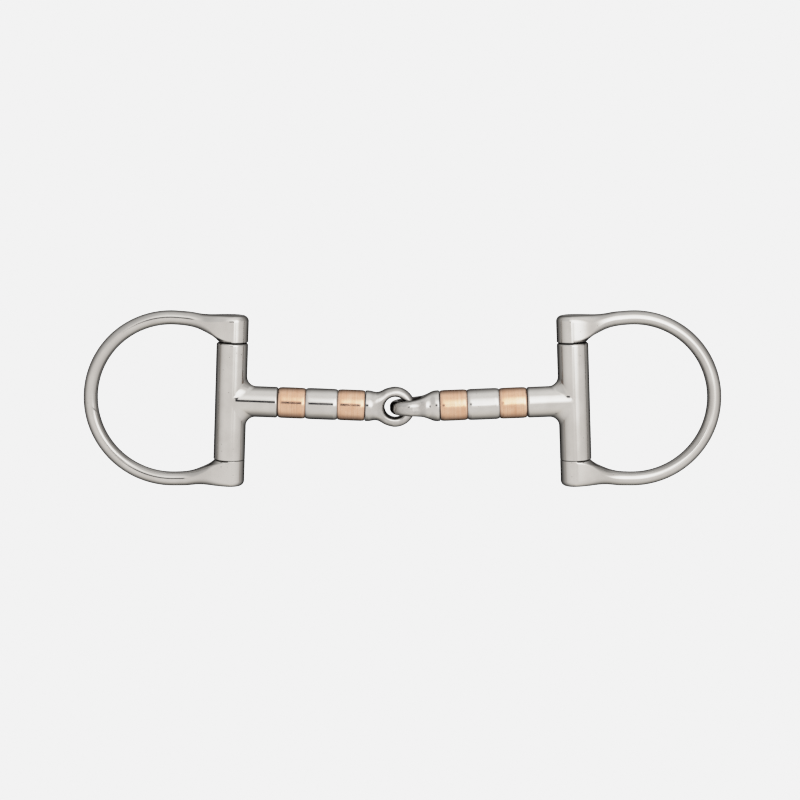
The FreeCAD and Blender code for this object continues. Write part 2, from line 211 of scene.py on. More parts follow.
def surface(field, xs, ys, zs):
    """Quads over the surface where the field is zero, their corners moved onto it."""
    values = field(xs[:, None, None], ys[None, :, None], zs[None, None, :])
    inside = values < 0
    cells = tuple(np.array(values.shape) - 1)
    total = np.zeros(cells + (3,))
    count = np.zeros(cells)
    lines = (xs, ys, zs)

    def beside(at, sides, shift):
        """The cells a step away from grid points, and which of them exist."""
        cell = at.copy()
        cell[:, sides] += shift
        return cell, np.all((cell >= 0) & (cell < cells), axis=1)

    # each grid edge that crosses the surface adds its crossing to the cells round it
    edges = []
    for axis in range(3):
        lo, hi = [slice(None)] * 3, [slice(None)] * 3
        lo[axis], hi[axis] = slice(0, -1), slice(1, None)
        at = np.argwhere(inside[tuple(lo)] != inside[tuple(hi)])
        after = at.copy()
        after[:, axis] += 1
        value, value_after = values[tuple(at.T)], values[tuple(after.T)]
        share = value / (value - value_after)
        start, end = (np.stack([lines[k][ends[:, k]] for k in range(3)], 1) for ends in (at, after))
        crossing = start + (end - start) * share[:, None]
        sides = [k for k in range(3) if k != axis]
        for shift in ((0, 0), (0, -1), (-1, 0), (-1, -1)):
            cell, exists = beside(at, sides, shift)
            np.add.at(total, tuple(cell[exists].T), crossing[exists])
            np.add.at(count, tuple(cell[exists].T), 1)
        edges.append((axis, at, inside[tuple(at.T)]))
    number = -np.ones(cells, int)
    used = count > 0
    number[used] = np.arange(used.sum())
    points = total[used] / count[used][:, None]

    quads = []
    for axis, at, solid in edges:
        sides = [k for k in range(3) if k != axis]
        if axis == 1:
            sides.reverse()
        ring = [beside(at, sides, shift) for shift in ((-1, -1), (0, -1), (0, 0), (-1, 0))]
        whole = np.all([exists for _, exists in ring], axis=0)
        ids = np.stack([number[tuple(cell[whole].T)] for cell, _ in ring], 1)
        flip = ~solid[whole]
        ids[flip] = ids[flip][:, ::-1]
        quads.append(ids)

    for _ in range(4):
        slopes = gradient(field, points)
        steep = np.maximum((slopes * slopes).sum(1), 1e-6)
        move = -(field(*points.T) / steep)[:, None] * slopes
        length = np.linalg.norm(move, axis=1)
        move *= np.minimum(1.0, 0.3 / np.maximum(length, 1e-9))[:, None]
        points = points + move
    slopes = gradient(field, points)
    normals = slopes / np.maximum(np.linalg.norm(slopes, axis=1), 1e-9)[:, None]
    return points, np.concatenate(quads), normals


def lathe(profile, axis, around):
    """Points and outward quads of a closed profile [(along, radius)] turned about x or z."""
    profile = np.array(profile, float)
    count = len(profile)
    angle = np.arange(around) * 2 * math.pi / around
    along, radius = np.repeat(profile, around, axis=0).T
    across, up = radius * np.tile(np.cos(angle), count), radius * np.tile(np.sin(angle), count)
    points = np.stack([along, across, up] if axis == "x" else [across, up, along], 1)
    i, j = np.arange(count)[:, None], np.arange(around)[None, :]
    i_next, j_next = (i + 1) % count, (j + 1) % around
    corners = [i * around + j, i_next * around + j, i_next * around + j_next, i * around + j_next]
    quads = np.stack(corners, -1).reshape(-1, 4)
    # keep the outside out whatever way the profile ran
    face = points[quads]
    area = np.cross(face[:, 1] - face[:, 0], face[:, 2] - face[:, 0])
    if (face[:, 0] * area).sum() < 0:
        quads = quads[:, ::-1]
    return points, quads


def add_piece(name, points, quads, place, body, material, node,
              normals=None, slot="polished_steel", **patterns):
    """A piece from local points (mm), riding on a body; patterns become attributes."""
    world_points = (points @ place[:3, :3].T + place[:3, 3]) / 1000.0
    mesh = bpy.data.meshes.new(name)
    mesh.from_pydata(world_points.tolist(), [], quads.tolist())
    mesh.update()
    mesh.shade_smooth()
    for key, values in patterns.items():
        kind, field = ("FLOAT_VECTOR", "vector") if values.ndim == 2 else ("FLOAT", "value")
        data = mesh.attributes.new(key, kind, "POINT").data
        data.foreach_set(field, np.ascontiguousarray(values, np.float32).ravel())
    if normals is not None:
        mesh.normals_split_custom_set_from_vertices((normals @ place[:3, :3].T).tolist())
    piece = bpy.data.objects.new(name, mesh)
    bpy.context.scene.collection.objects.link(piece)
    mesh.materials.append(material)
    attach(piece, body)
    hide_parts(node)
    return piece


# --- Shader graphs --------------------------------------------------------------
class Value:
    """An output of a shader node, open to arithmetic and to further nodes."""

    def __init__(self, graph, socket):
        self.graph, self.socket = graph, socket

    def __add__(self, other):
        return self.graph.math("ADD", self, other)

    def __radd__(self, other):
        return self.graph.math("ADD", other, self)

    def __sub__(self, other):
        return self.graph.math("SUBTRACT", self, other)

    def __mul__(self, other):
        return self.graph.math("MULTIPLY", self, other)

    def __truediv__(self, other):
        return self.graph.math("DIVIDE", self, other)

    def ramp(self, over, to=(0.0, 1.0)):
        """A smooth step between two values while this one runs over a range."""
        inputs = {"Value": self, "From Min": over[0], "From Max": over[1],
                  "To Min": to[0], "To Max": to[1]}
        return self.graph.value("MapRange", inputs, interpolation_type="SMOOTHSTEP", clamp=True)

    def band(self, over, soft):
        """One inside a range, with the softness of its low and high edges."""
        (lo, hi), (soft_lo, soft_hi) = over, soft
        rising = self.ramp(over=(lo - soft_lo, lo + soft_lo))
        return rising * self.ramp(over=(hi - soft_hi, hi + soft_hi), to=(1.0, 0.0))

    def noise(self, scale, detail, rough):
        inputs = {"Vector": self, "Scale": scale, "Detail": detail, "Roughness": rough}
        return self.graph.value("TexNoise", inputs, output="Fac")

    def streaks(self, stretch, detail, rough, shift=(0.0, 0.0, 0.0)):
        """Noise scaled differently along each axis."""
        inputs = {"Vector": self, "Scale": stretch, "Location": shift}
        return self.graph.value("Mapping", inputs).noise(scale=1.0, detail=detail, rough=rough)

    def tint(self, colour, share):
        return self.graph.mix(self, colour, share)

    def bump(self, distance, normal=None):
        inputs = {"Strength": 1.0, "Distance": distance, "Height": self}
        if normal is not None:
            inputs["Normal"] = normal
        return self.graph.value("Bump", inputs)


class Graph:
    """The shader nodes of a material or world, started empty."""

    def __init__(self, owner):
        owner.use_nodes = True
        self.tree = owner.node_tree
        self.tree.nodes.clear()

    def node(self, kind, inputs=None, **settings):
        node = self.tree.nodes.new("ShaderNode" + kind)
        for key, setting in settings.items():
            setattr(node, key, setting)
        for key, value in (inputs or {}).items():
            if isinstance(value, Value):
                self.tree.links.new(value.socket, node.inputs[key])
            else:
                node.inputs[key].default_value = value
        return node

    def value(self, kind, inputs=None, output=0, **settings):
        return Value(self, self.node(kind, inputs, **settings).outputs[output])

    def math(self, operation, *operands, clamp=False):
        return self.value("Math", dict(enumerate(operands)), operation=operation, use_clamp=clamp)

    def attribute(self, name, output="Fac"):
        return self.value("Attribute", output=output, attribute_name=name)

    def split(self, vector):
        node = self.node("SeparateXYZ", {"Vector": vector})
        return [Value(self, socket) for socket in node.outputs]

    def mix(self, first, second, share, blend="MIX"):
        """Two colours blended; plain colours are given as (r, g, b)."""
        first, second = ((*colour, 1.0) if isinstance(colour, tuple) else colour
                         for colour in (first, second))
        inputs = {"Factor": share, 6: first, 7: second}
        return self.value("Mix", inputs, output=2, data_type="RGBA", blend_type=blend)

    def metal(self, colour, rough, normal):
        """The finished metal surface."""
        shader = self.value("BsdfPrincipled", {
            "Base Color": colour, "Specular Tint": (0.34, 0.34, 0.34, 1.0), "Metallic": 1.0,
            "Roughness": rough, "Normal": normal})
        self.node("OutputMaterial", {"Surface": shader})


# --- Metals -------------------------------------------------------------------
# Patterns read loc_mm, a point's place on its own piece in mm, or grain, its place
# along, across and out of the surface's polishing.
STEEL_PALE, STEEL_DIM = (0.690, 0.671, 0.645), (0.640, 0.619, 0.592)
# CREVICE_SHADE and EDGE_SHADE are painted shade; PIT_BROWN colours real pits
PIT_BROWN, CREVICE_SHADE, EDGE_SHADE = (0.16, 0.14, 0.12), (0.035, 0.030, 0.027), (0.10, 0.096, 0.090)
COPPER_PALE, COPPER_DEEP = (0.85, 0.560, 0.400), (0.78, 0.465, 0.310)
RING_BRIGHT, RING_DARK = (0.91, 0.71, 0.58), (0.66, 0.40, 0.26)
TARNISH, RUBBED, COPPER_CREVICE_SHADE = (0.45, 0.24, 0.14), (0.92, 0.72, 0.60), (0.10, 0.045, 0.03)


def steel_material(name, rough, shade=1.0, turned_depth=0.0):
    """Polished stainless steel: buffed with faint haze, hairline scratches, tiny
    pits and a slight waviness left by polishing; painted shade darkens the
    crevices and the edges of rings."""
    material = bpy.data.materials.new(name)
    graph = Graph(material)
    loc = graph.attribute("loc_mm", "Vector")
    grain = graph.attribute("grain", "Vector")
    cloud = loc.noise(scale=0.11, detail=3.0, rough=0.55)
    haze = loc.noise(scale=0.7, detail=4.0, rough=0.6)
    hair = grain.streaks(stretch=(0.22, 5.5, 5.5), detail=3.0, rough=0.65)
    cross = grain.streaks(stretch=(4.0, 0.5, 0.5), shift=(3.1, 7.7, 1.3), detail=2.0, rough=0.6)
    wave = loc.noise(scale=0.13, detail=1.0, rough=0.4)
    # pits sit in the middle of some of the cells
    pits = graph.node("TexVoronoi", {"Vector": loc, "Scale": 0.42}, feature="F1")
    pick = graph.value("SeparateColor", {"Color": Value(graph, pits.outputs["Color"])})
    pit = Value(graph, pits.outputs["Distance"]).ramp(over=(0.10, 0.045))
    pit = pit * pick.ramp(over=(0.70, 0.72))
    pale, dim = (tuple(part * shade for part in colour) for colour in (STEEL_PALE, STEEL_DIM))
    colour = graph.mix(pale, dim, share=cloud.ramp(over=(0.35, 0.65)))
    colour = colour.tint(PIT_BROWN, share=pit * 0.55)
    # painted shade: seams and crevices darkened towards near-black, patchily; the left ring's weld
    # mark rides in the same mask
    crevice = graph.attribute("crevice")
    patchy = haze.ramp(over=(0.35, 0.65), to=(0.55, 1.45))
    crevice = graph.math("MULTIPLY", crevice, patchy + crevice, clamp=True)
    colour = colour.tint(CREVICE_SHADE, share=crevice)
    # painted shade: the edges of rings are greyed where they turn away from the faces
    colour = colour.tint(EDGE_SHADE, share=graph.attribute("dull"))
    # haze, scratches and the painted crevice shade each add roughness
    roughness = rough + haze.ramp(over=(0.4, 0.75)) * 0.06
    roughness = roughness + hair.ramp(over=(0.58, 0.78)) * 0.09
    roughness = roughness + cross.ramp(over=(0.64, 0.8)) * 0.05
    roughness = roughness + crevice * 0.25
    normal = wave.bump(distance=0.000028)
    normal = hair.bump(distance=0.0000014, normal=normal)
    normal = cross.bump(distance=0.0000010, normal=normal)
    normal = pit.bump(distance=-0.000030, normal=normal)
    if turned_depth:
        turned = loc.streaks(stretch=(9.0, 0.03, 0.03), detail=2.0, rough=0.6)
        normal = turned.bump(distance=turned_depth, normal=normal)
        roughness = roughness + turned.ramp(over=(0.45, 0.75)) * 0.05
    graph.metal(colour, roughness, normal)
    return material


def copper_material(name):
    """Turned copper: fine rings from the lathe, a warm bloom of tarnish, and
    brighter metal where the rollers rub."""
    material = bpy.data.materials.new(name)
    graph = Graph(material)
    loc = graph.attribute("loc_mm", "Vector")
    rings = loc.streaks(stretch=(4.2, 0.05, 0.05), detail=3.0, rough=0.65)
    coarse = loc.streaks(stretch=(1.5, 0.03, 0.03), shift=(4.0, 1.0, 2.0), detail=1.0, rough=0.5)
    bloom = loc.noise(scale=0.22, detail=4.0, rough=0.6)
    spots = loc.noise(scale=1.6, detail=3.0, rough=0.55)
    scratch = loc.streaks(stretch=(0.5, 3.5, 3.5), shift=(9.0, 2.0, 5.0), detail=3.0, rough=0.6)
    rub = graph.attribute("rub")
    colour = graph.mix(COPPER_PALE, COPPER_DEEP, share=bloom.ramp(over=(0.32, 0.68)))
    colour = colour.tint(RING_BRIGHT, share=rings.ramp(over=(0.42, 0.62)) * 0.28)
    colour = colour.tint(RING_DARK, share=coarse.ramp(over=(0.52, 0.36)) * 0.34)
    colour = colour.tint(TARNISH, share=spots.ramp(over=(0.60, 0.78)) * 0.30)
    colour = colour.tint(RUBBED, share=rub * 0.25)
    # painted shade in the crevices, from the same mask as the steel
    colour = colour.tint(COPPER_CREVICE_SHADE, share=graph.attribute("crevice") * 0.9)
    # rings and bloom add roughness, rubbing polishes it away
    roughness = 0.12 + rings.ramp(over=(0.35, 0.7)) * 0.08
    roughness = roughness + bloom.ramp(over=(0.4, 0.7)) * 0.08
    roughness = roughness - rub * 0.05
    normal = rings.bump(distance=0.0000016)
    normal = coarse.bump(distance=0.0000022, normal=normal)
    normal = scratch.bump(distance=0.0000007, normal=normal)
    graph.metal(colour, roughness, normal)
    return material


STEEL = steel_material("polished_steel", rough=0.065)
STEEL_ROLLER = steel_material("turned_steel", rough=0.07, shade=0.99, turned_depth=0.0000010)
STEEL_PIN = steel_material("pin_steel", rough=0.2, shade=0.9)
COPPER = copper_material("turned_copper")

# --- Painted shade --------------------------------------------------------------


def painted_edge_shade(normals):
    """Painted shade, growing towards the edges of a ring as they turn away from its two faces."""
    return 0.38 * (1 - np.exp(-(1 - np.abs(normals[:, 1])) / 0.15))


def crevices(along, *seams):
    """Painted shade close to the seams, each given as its place along an axis and its reach."""
    return np.max([np.clip(1 - np.abs(along - seam) / reach, 0, 1) ** 2
                   for seam, reach in seams], 0)


# --- Dee ring -------------------------------------------------------------------
# Neck and knuckle at stations of x: (x, height of the top)
DEE_TOP = Curve([
    (-23.9, 36.0), (-20.2, 35.88), (-16.9, 35.68), (-13.7, 35.22), (-11.0, 34.98),
    (-8.4, 34.93), (-6.0, 35.00), (-3.5, 35.10), (-1.0, 35.17), (6.5, 35.17)])
# (x, height of the underside)
DEE_UNDER = Curve([
    (-23.9, 30.20), (-20.2, 30.05), (-16.9, 29.66), (-13.7, 28.84), (-11.0, 27.78),
    (-8.4, 26.40), (-6.3, 24.75), (-NECK_END, FACE)], level_end=False)
# (x, half width along y)
DEE_WIDE = Curve([
    (-23.9, 2.90), (-20.2, 2.92), (-16.9, 3.04), (-13.7, 3.40), (-11.0, 3.95),
    (-8.4, 4.70), (-6.0, 5.45), (-4.0, 5.95), (-2.0, 6.28), (0.0, 6.40)])
# (x, rounding of the top edges)
DEE_ROUND_TOP = Curve([
    (-23.9, 2.90), (-20.2, 2.92), (-16.9, 3.02), (-13.7, 3.25), (-11.0, 3.35), (-8.4, 3.20),
    (-6.0, 2.85), (-3.0, 2.45), (0.0, 2.2), (3.0, 2.05), (6.5, 2.0)])
# (x, rounding of the lower edges)
DEE_ROUND_UNDER = Curve([
    (-23.9, 2.90), (-20.2, 2.92), (-16.9, 3.0), (-13.7, 2.95), (-11.0, 2.40), (-8.4, 1.40),
    (-6.8, 0.75), (-5.0, 0.32), (-2.0, 0.2), (6.5, 0.2)])


def dome(x, y):
    """How far the end of a knuckle falls away from its middle."""
    square = np.minimum(np.maximum(x, 0.0) ** 2 + y * y, KNUCKLE ** 2)
    return DOME_DROP * square / KNUCKLE ** 2 * step(-14.0, -1.0, x)


def neck_field(x, y, z):
    """One neck and knuckle, for y and z not below zero."""
    plan = np.where(x < 0, DEE_WIDE.distance(x, y), np.hypot(x, y) - KNUCKLE)
    top = (z - DEE_TOP(x) + dome(x, y)) / np.hypot(1, DEE_TOP.slope(x))
    # the underside turns from straight across the wire to round the hinge
    reach = -np.sqrt(x * x + (y * step(-15.0, -9.0, x)) ** 2)
    reach = np.where(x < 0, reach, -1.0)
    neck = reach < -NECK_END
    under = np.where(neck, DEE_UNDER(reach), FACE) - z
    slope = np.where(neck, DEE_UNDER.slope(np.minimum(reach, -5.75)), 0.0)
    under = under / np.hypot(1, slope)
    return np.maximum(meet(plan, top, DEE_ROUND_TOP(x)), meet(plan, under, DEE_ROUND_UNDER(x)))


def dee_field(x, y, z):
    x, y, z = np.broadcast_arrays(x, y, z)
    y_off, z_off = np.abs(y), np.abs(z)
    field = np.hypot(np.hypot(x + REACH, z_off) - LOOP, y_off) - WIRE
    # past the loop's centre there is no loop, only neck and knuckle
    near = (x > -REACH) & (z_off > 20.0)
    field[near] = neck_field(x[near], y_off[near], z_off[near])
    between = (x > -REACH) & (z_off <= 20.0)
    field[between] = 20.5 - z_off[between]
    return np.maximum(field, PIN - np.hypot(x, y))


def dee_grain(points):
    """Along the wire, across it, and out of it."""
    x, y, z = points.T
    angle = np.arctan2(z, -(x + REACH))
    loop = x < -REACH
    straight = np.sign(z) * (LOOP * math.pi / 2 + x + REACH)
    along = np.where(loop, LOOP * angle, straight)
    out = np.where(loop, np.hypot(x + REACH, z) - LOOP, np.abs(z) - 31.0)
    return np.stack([along, y, out], 1)


def add_dee(side):
    xs = grid(-60.4, 7.0, 0.36 * PITCH, [(6.2, 0.4, 0.16)])
    ys = grid(-6.9, 6.9, 0.33 * PITCH)
    zs = grid(23.5, 36.8, 0.34 * PITCH, [(FACE, 0.25, 0.08), (TOP - 0.4, 0.7, 0.16)])
    middle = np.arange(-23.16, 23.3, 0.36 * PITCH)
    zs = np.unique(np.round(np.concatenate([-zs, middle, zs]), 6))
    points, quads, normals = surface(dee_field, xs, ys, zs)
    x, y, z = points.T
    # painted shade along the knuckles' inner faces next to the barrel
    crevice = crevices(z, (FACE, 0.5), (-FACE, 0.16)) * (np.hypot(x, y) < 7.2)
    if side == "left":
        # the dressed weld that closes the ring: a real mark, kept in the same mask as the painted
        # crevice shade
        along, across = z + 5.5 + 0.9 * (x + 55.0), x + 55.0
        weld = 0.55 * np.exp(-(along / 0.35) ** 2 - (across / 1.0) ** 4)
        crevice = np.maximum(crevice, weld)
    # the loop's edges get painted shade
    add_piece(side + "_dee", points, quads, ARM[side], side + "_cheek", STEEL,
              side + "_dee_ring", normals, loc_mm=points, grain=dee_grain(points),
              crevice=crevice, dull=painted_edge_shade(normals) * (1 - step(-13.0, -5.0, x)))


# --- Hinge pin ------------------------------------------------------------------
def add_pin(side):
    """A shaft with a domed head at each end, flush with the knuckles."""
    head = [(-TOP + DOME_DROP * (r / KNUCKLE) ** 2 - 0.03, r)
            for r in np.linspace(0.001, 3.02, 12)]
    head += [(-TOP + 0.14, 3.13), (-TOP + 0.22, 3.17), (-TOP + 0.9, PIN)]
    shaft = [(z, PIN) for z in np.linspace(-TOP + 2, TOP - 2, 16)]
    profile = head + shaft + [(-z, r) for z, r in head[::-1]]
    points, quads = lathe(profile, "z", around=96)
    x, y, z = points.T
    # painted shade round the rim of each head, where it sits in the knuckle
    crevice = (np.abs(np.abs(z) - TOP) < 0.4) * (np.hypot(x, y) > 3.05) * 0.8
    pin = add_piece(side + "_pin", points, quads, ARM[side], side + "_cheek", STEEL_PIN,
                    side + "_hinge_pin", loc_mm=points, grain=points, crevice=crevice)
    pin.data.set_sharp_from_angle(angle=math.radians(35))


# --- Hinge barrel and stem --------------------------------------------------------
def tee_field(x, y, z):
    x, y, z = np.broadcast_arrays(x, y, z)
    middle, half = (ABOVE - BELOW) / 2, (ABOVE + BELOW) / 2
    ends = np.abs(z - middle) - half
    barrel = meet(np.hypot(x, y) - BARREL, ends, np.where(z > 0, 1.0, 0.25))
    stem = meet(np.hypot(y, z) - STEM, x - STEM_END, 1.05)
    stem = np.maximum(stem, -x - 0.5)
    # the fillet shrinks towards the barrel's flanks
    fillet = 3.9 * np.maximum(1 - (y / BARREL) ** 2, 0.0) ** 0.8 + 1e-3
    field = join(barrel, stem, fillet)
    field = meet(field, BARREL_BORE - np.hypot(x, y), 0.15)
    socket = np.maximum(np.hypot(y, z) - SOCKET, STEM_SOCKET_START - x)
    return np.maximum(field, -socket)


def add_tee(side):
    xs = grid(-6.8, 19.8, 0.34 * PITCH, [(STEM_END - 0.4, 0.8, 0.13)])
    ys = grid(-6.9, 6.9, 0.32 * PITCH)
    zs = grid(-24.6, 24.4, 0.38 * PITCH, [(ABOVE, 0.35, 0.08), (-BELOW, 0.35, 0.08)])
    points, quads, normals = surface(tee_field, xs, ys, zs)
    x, y, z = points.T
    # painted shade at the barrel's ends and at the stem's end
    crevice = np.maximum(crevices(z, (ABOVE, 0.5), (-BELOW, 0.16)), crevices(x, (STEM_END, 0.4)))
    # the stem is polished along x, the barrel along z
    grain = np.where((x > 7.5)[:, None], points, points[:, [2, 1, 0]])
    add_piece(side + "_tee", points, quads, ARM[side], side + "_arm", STEEL,
              side + "_barrel_tee", normals, loc_mm=points, grain=grain, crevice=crevice)


# --- Eye end --------------------------------------------------------------------
# (x, half width along z)
EYE_WIDE = Curve([
    (0.0, 6.28), (1.0, 6.28), (2.0, 6.20), (3.0, 6.02), (3.8, 5.90), (4.65, 5.86), (5.5, 5.99),
    (6.3, 6.32), (7.1, 6.74), (7.9, 7.16), (9.5, 7.74), (11.2, 8.13), (EYE_X, EYE_RADIUS)])
# (x, half thickness along y)
EYE_THICK = Curve([
    (0.0, 6.28), (1.0, 6.30), (2.1, 6.24), (2.9, 6.02), (3.7, 5.64), (4.5, 5.20), (5.45, 4.72),
    (6.5, 4.25), (7.7, 3.84), (9.3, 3.50), (10.9, 3.28), (12.5, 3.10), (14.5, 2.92),
    (17.0, 2.83), (20.5, 2.78)])
# (x, rounding of the outer edges)
EYE_ROUND = Curve([
    (0.0, 6.15), (2.1, 6.0), (3.8, 5.2), (5.4, 4.1), (7.0, 3.25), (8.6, 2.8), (10.4, 2.55),
    (12.2, 2.40), (15.0, 2.35), (20.5, 2.3)])


def eye_field(x, y, z):
    x, y, z = np.broadcast_arrays(x, y, z)
    width = np.abs(z)
    station = np.clip(x, 0, 20.4)
    side = np.where(x < EYE_X, EYE_WIDE.distance(station, width),
                    np.hypot(x - EYE_X, width) - EYE_RADIUS)
    field = meet(side, EYE_THICK.distance(station, np.abs(y)), EYE_ROUND(station))
    field = meet(field, -x, 0.4)
    field = meet(field, EYE_HOLE - np.hypot(x - EYE_X, z), 1.35)
    socket = np.maximum(np.hypot(y, z) - SOCKET, x - EYE_SOCKET_END)
    # a hair thinner than drawn, so that two linked rings fold freely
    field = field + 0.02 * np.clip((x - 5.0) / 4.0, 0, 1)
    return np.maximum(field, -socket)


def add_eye(side):
    """The right eye is turned a quarter so that the two link."""
    start, _ = local_range(side + "_eye_end", ARM[side])
    place = slid(spun(ARM[side], 90.0 if side == "right" else 0.0), start)
    xs = grid(-0.4, 20.8, 0.28 * PITCH, [(0.3, 0.6, 0.12)])
    ys = grid(-6.9, 6.9, 0.28 * PITCH)
    zs = grid(-8.6, 8.6, 0.28 * PITCH)
    points, quads, normals = surface(eye_field, xs, ys, zs)
    x, y, z = points.T
    # painted shade on the hole's wall and at the shoulder
    wall = step(0.0, 1.0, 1.15 - (np.hypot(x - EYE_X, z) - EYE_HOLE) / 0.95)
    crevice = np.maximum(crevices(x, (0.0, 0.6)), wall * 0.9)
    # painted shade: the ring is darkened a little from its neck outwards
    crevice = np.maximum(crevice, step(3.5, 7.5, x) * 0.12)
    # painted shade on the ring's edges, full on the left eye and faint on the right
    dull = painted_edge_shade(normals) * step(4.0, 8.0, x) * (1.0 if side == "left" else 0.1)
    add_piece(side + "_eye", points, quads, place, side + "_arm", STEEL, side + "_eye_end",
              normals, loc_mm=points, grain=points, crevice=crevice, dull=dull)


# --- Rollers --------------------------------------------------------------------
def arc_points(x, y, radius, start, end, count):
    angles = np.radians(np.linspace(start, end, count))
    return [(x + radius * math.cos(angle), y + radius * math.sin(angle)) for angle in angles]


def roller_profile(length, middle):
    """Outline of a roller: nearly straight, easing down to rounded rims."""
    xs = np.concatenate([np.linspace(0, END_ZONE, 15)[:-1],
                         np.linspace(END_ZONE, length - END_ZONE, 26)[:-1],
                         np.linspace(length - END_ZONE, length, 15)])
    to_end = np.minimum(xs, length - xs)
    radii = (middle - ROLLER_DROP * np.maximum(1 - to_end / END_ZONE, 0) ** 2.4
             - ROLLER_CROWN * (2 * xs / length - 1) ** 2)
    keep = (xs > RIM) & (xs < length - RIM)
    shoulder = float(radii[0]) - RIM
    face = list(np.linspace(shoulder, ROLLER_BORE + 0.2, 6))
    outline = [(0.0, r) for r in face[::-1][:-1]]
    outline += arc_points(RIM, shoulder, RIM, 180, 96, 7)
    outline += list(zip(xs[keep], radii[keep]))
    outline += arc_points(length - RIM, shoulder, RIM, 84, 0, 7)
    outline += [(length, r) for r in face[1:]]
    bore = [length - 0.2, *np.linspace(length - 0.6, 0.6, 8), 0.2]
    return outline + [(x, ROLLER_BORE) for x in bore]


# position in the row, metal, middle radius, material, slot, shift of its pattern along x
ROLLERS = [("outer", "copper", COPPER_RADIUS, COPPER, "copper", 0.0),
           ("middle", "steel", STEEL_RADIUS, STEEL_ROLLER, "polished_steel", 23.0),
           ("inner", "copper", COPPER_RADIUS, COPPER, "copper", 41.0)]
RIGHT_SHIFT = 70.0      # further shift of the right arm's patterns


def add_roller(side, row, metal, middle, material, slot, shift):
    node = f"{side}_roller_{row}_{metal}"
    start, end = local_range(node, ARM[side])
    # neighbours stand closer than the CAD's running gap
    start -= SIDE_GAP if row == "outer" else ROLLER_GAP
    end += SIDE_GAP if row == "inner" else ROLLER_GAP
    length = end - start
    points, quads = lathe(roller_profile(length, middle), "x", around=144)
    x, y, z = points.T
    radial = np.hypot(y, z)
    to_end = np.minimum(x, length - x)
    # painted shade where a roller meets the stem or the eye, less between rollers, and on its faces
    # near the bore
    deep = np.where(x < length / 2, row == "outer", row == "inner")
    crevice = np.where(deep, np.clip(1.25 - to_end / 0.2, 0, 1) * 0.95,
                       np.clip(1 - to_end / 0.12, 0, 1) * 0.3)
    crevice = np.clip(crevice + (radial < 5.4) * 0.5, 0, 1)
    rub = np.clip(1 - to_end / 1.1, 0, 1) * (radial > 5.9)
    shift += RIGHT_SHIFT if side == "right" else 0.0
    roller = add_piece(f"{side}_{row}_{metal}_roller", points, quads, slid(ARM[side], start),
                       f"{side}_{row}_roller", material, node, slot=slot,
                       loc_mm=points + np.array([shift, 0.0, 0.0]), grain=points,
                       crevice=crevice, rub=rub)
    roller.data.set_sharp_from_angle(angle=math.radians(40))


for side in ("left", "right"):
    add_dee(side)
    add_pin(side)
    add_tee(side)
    add_eye(side)
    for roller_row in ROLLERS:
        add_roller(side, *roller_row)
    # the spindle keeps its CAD shape
    spindle = cad["nodes"][side + "_spindle"].data
    spindle.materials.clear()
    spindle.materials.append(STEEL_PIN)

# --- Camera: square on to the bit and a little above it (metres) ------------------
VIEW_WIDTH = 0.3257
DISTANCE = 0.95
CAMERA_RISE = math.radians(8.0)
SENSOR = 36.0


def add_camera():
    centre = Vector((-0.0010, 0.0, 0.0002))
    back = Vector((0.0, -math.cos(CAMERA_RISE), math.sin(CAMERA_RISE)))
    lens = bpy.data.cameras.new("camera")
    lens.sensor_width = SENSOR
    lens.lens = SENSOR * DISTANCE / VIEW_WIDTH
    lens.clip_start, lens.clip_end = 0.01, 50.0
    camera = bpy.data.objects.new("camera", lens)
    bpy.context.scene.collection.objects.link(camera)
    camera.location = centre + back * DISTANCE
    camera.rotation_mode = "QUATERNION"
    camera.rotation_quaternion = (-back).to_track_quat("-Z", "Y")
    bpy.context.scene.camera = camera


add_camera()

# --- Studio -----------------------------------------------------------------------
# A pale surround for the eye, and a soft tent of light for the metal, turned with
# the camera. Bright light rolls off softly on its way to the picture.
# (light as a share of WHITE, brightness in the picture)
SHOULDER = [(0.0, 0.0), (0.24, 0.60), (0.30, 0.705), (0.36, 0.775), (0.46, 0.84), (0.60, 0.887),
            (0.80, 0.925), (1.0, 0.95)]
WHITE = 2.5
PALE = (0.60 * WHITE,) * 3      # comes out a light grey

# Tent colours
TENT, TENT_ABOVE, TENT_BELOW = (0.885, 0.868, 0.855), (0.99, 0.99, 0.99), (0.88, 0.85, 0.805)
SEAM, CAMERA_BAR = (0.26, 0.21, 0.17), (0.03, 0.03, 0.035)
# Patches on the tent, in degrees: colour, azimuth range and softness of its ends,
# elevation range and softness of its ends, strength
PATCHES = [((0.72, 0.72, 0.72), (-90, -24), (12, 8), (8, 62), (6, 10), 0.7),
           ((1.22, 1.22, 1.22), (-16, 13), (12, 12), (10, 44), (7, 14), 0.9),
           ((0.55, 0.545, 0.54), (62, 140), (10, 10), (6, 55), (8, 8), 0.75)]
# (degrees off the direction of the camera, brightness of the tent)
FALL = [(0.0, 1.0), (50.0, 1.0), (68.0, 0.93), (82.0, 0.81), (94.0, 0.63), (106.0, 0.45),
        (120.0, 0.29), (134.0, 0.16), (148.0, 0.06), (160.0, 0.01), (180.0, 0.0)]


def both(first, second, strength=1.0):
    return first * second * strength


